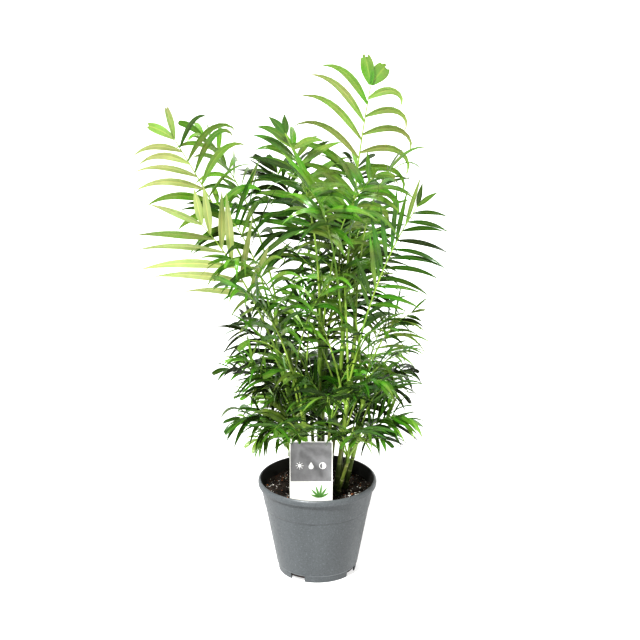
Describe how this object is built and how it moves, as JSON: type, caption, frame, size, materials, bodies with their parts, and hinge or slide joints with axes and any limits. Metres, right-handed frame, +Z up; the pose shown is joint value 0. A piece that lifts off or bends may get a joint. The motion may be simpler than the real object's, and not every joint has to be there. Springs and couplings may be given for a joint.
{
  "type": "parlour palm",
  "caption": "Clump-forming palm with thin upright canes and arching feathery fronds, standing in soil in a round tapered plastic nursery pot with a plain stick-in label.",
  "frame": {"origin": "centre of the pot's flat underside, on the surface that it stands on", "axes": "+Z up the plant, -Y towards the side that the label faces, +X to the right seen from that side"},
  "size_m": [0.4244, 0.3455, 0.741],
  "materials": {
    "pot": "semi-matt blue-grey moulded plastic, black inside",
    "soil": "moist near-black peat with pale grit and bits of bark",
    "label": "printed plastic card, grey above and white below, with no wording",
    "canes": "smooth green cane with pale leaf rings",
    "fronds": "satin green leaflets, yellow-green where the light shows through"
  },
  "bodies": {
    "root": {"pot": "pot", "soil": "soil", "label": "label", "cane_a": "canes", "cane_b": "canes", "cane_c": "canes", "cane_d": "canes", "cane_e": "canes", "cane_f": "canes", "cane_g": "canes", "cane_m": "canes", "cane_l": "canes", "cane_h": "canes", "cane_i": "canes", "cane_j": "canes", "cane_k": "canes", "cane_n": "canes", "cane_o": "canes", "frond_01": "fronds", "frond_02": "fronds", "frond_03": "fronds", "frond_04": "fronds", "frond_05": "fronds", "frond_06": "fronds", "frond_07": "fronds", "frond_08": "fronds", "frond_09": "fronds", "frond_10": "fronds", "frond_11": "fronds", "frond_12": "fronds", "frond_13": "fronds", "frond_14": "fronds", "frond_15": "fronds", "frond_16": "fronds", "frond_17": "fronds", "frond_18": "fronds", "frond_19": "fronds", "frond_20": "fronds", "frond_21": "fronds", "frond_22": "fronds", "frond_23": "fronds", "frond_24": "fronds", "frond_25": "fronds", "frond_26": "fronds", "frond_27": "fronds", "frond_28": "fronds", "frond_29": "fronds", "frond_30": "fronds", "frond_31": "fronds", "frond_32": "fronds", "frond_33": "fronds", "frond_34": "fronds", "frond_35": "fronds", "frond_36": "fronds", "tuft_h": "fronds", "tuft_i": "fronds", "tuft_j": "fronds", "tuft_k": "fronds", "tuft_n": "fronds", "tuft_o": "fronds"}
  },
  "joints": []
}
